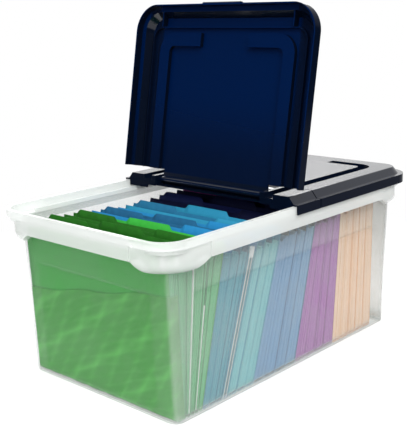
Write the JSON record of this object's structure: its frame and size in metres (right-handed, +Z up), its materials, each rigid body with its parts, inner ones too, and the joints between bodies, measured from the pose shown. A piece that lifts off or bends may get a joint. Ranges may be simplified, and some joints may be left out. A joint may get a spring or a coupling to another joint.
{
  "type": "portable file box",
  "caption": "Clear tapered tote with a hinged two-leaf lid, deep grip corners and inner file rails, holding a leaning row of coloured card folders with papers.",
  "frame": {"origin": "centre of the tote's flat base, on the surface it stands on", "axes": "+X along the long side towards the closed leaf, +Y across the box, +Z up"},
  "size_m": [0.5894, 0.362, 0.5477],
  "materials": {
    "tote_clear": "clear polypropylene, injection moulded, lightly frosted inside",
    "lid_navy": "navy polypropylene, injection moulded, semi-gloss",
    "spine_white": "extruded rigid plastic",
    "card_green": "dyed pressboard folder card",
    "card_blue": "dyed pressboard folder card",
    "card_teal": "dyed pressboard folder card",
    "card_indigo": "dyed pressboard folder card",
    "card_magenta": "dyed pressboard folder card",
    "card_orange": "dyed pressboard folder card",
    "paper_green": "tinted office paper, edges of a loose stack",
    "paper_blue": "tinted office paper, edges of a loose stack",
    "paper_teal": "tinted office paper, edges of a loose stack",
    "paper_indigo": "tinted office paper, edges of a loose stack",
    "paper_magenta": "tinted office paper, edges of a loose stack",
    "paper_orange": "tinted office paper, edges of a loose stack"
  },
  "bodies": {
    "box": {"folder_blue_1": "card_blue", "folder_blue_2": "card_blue", "folder_blue_3": "card_blue", "folder_blue_4": "card_blue", "folder_green_1": "card_green", "folder_green_2": "card_green", "folder_green_3": "card_green", "folder_green_4": "card_green", "folder_green_5": "card_green", "folder_green_6": "card_green", "folder_indigo_1": "card_indigo", "folder_indigo_2": "card_indigo", "folder_indigo_3": "card_indigo", "folder_indigo_4": "card_indigo", "folder_magenta_1": "card_magenta", "folder_magenta_2": "card_magenta", "folder_magenta_3": "card_magenta", "folder_magenta_4": "card_magenta", "folder_orange_1": "card_orange", "folder_orange_2": "card_orange", "folder_orange_3": "card_orange", "folder_orange_4": "card_orange", "folder_orange_5": "card_orange", "folder_teal_1": "card_teal", "folder_teal_2": "card_teal", "folder_teal_3": "card_teal", "papers_blue_1": "paper_blue", "papers_blue_2": "paper_blue", "papers_blue_3": "paper_blue", "papers_blue_4": "paper_blue", "papers_green_1": "paper_green", "papers_green_2": "paper_green", "papers_green_3": "paper_green", "papers_green_4": "paper_green", "papers_green_5": "paper_green", "papers_green_6": "paper_green", "papers_indigo_1": "paper_indigo", "papers_indigo_2": "paper_indigo", "papers_indigo_3": "paper_indigo", "papers_indigo_4": "paper_indigo", "papers_magenta_1": "paper_magenta", "papers_magenta_2": "paper_magenta", "papers_magenta_3": "paper_magenta", "papers_magenta_4": "paper_magenta", "papers_orange_1": "paper_orange", "papers_orange_2": "paper_orange", "papers_orange_3": "paper_orange", "papers_orange_4": "paper_orange", "papers_orange_5": "paper_orange", "papers_teal_1": "paper_teal", "papers_teal_2": "paper_teal", "papers_teal_3": "paper_teal", "report_spine": "spine_white", "tote": "tote_clear"},
    "bridge": {"lid_bridge": "lid_navy"},
    "leaf_left": {"lid_leaf_left": "lid_navy"},
    "leaf_right": {"lid_leaf_right": "lid_navy"}
  },
  "joints": [
    {"name": "lid_lift", "type": "slide", "parent": "box", "child": "bridge", "axis": [0, 0, 1], "range_m": [0, 0.12]},
    {"name": "leaf_left_hinge", "type": "hinge", "parent": "bridge", "child": "leaf_left", "pos_m": [-0.0135, 0, 0.2655], "axis": [0, 1, 0], "range_deg": [-100.4, 0]},
    {"name": "leaf_right_hinge", "type": "hinge", "parent": "bridge", "child": "leaf_right", "pos_m": [0.0135, 0, 0.2655], "axis": [0, 1, 0], "range_deg": [-80, 0]}
  ]
}
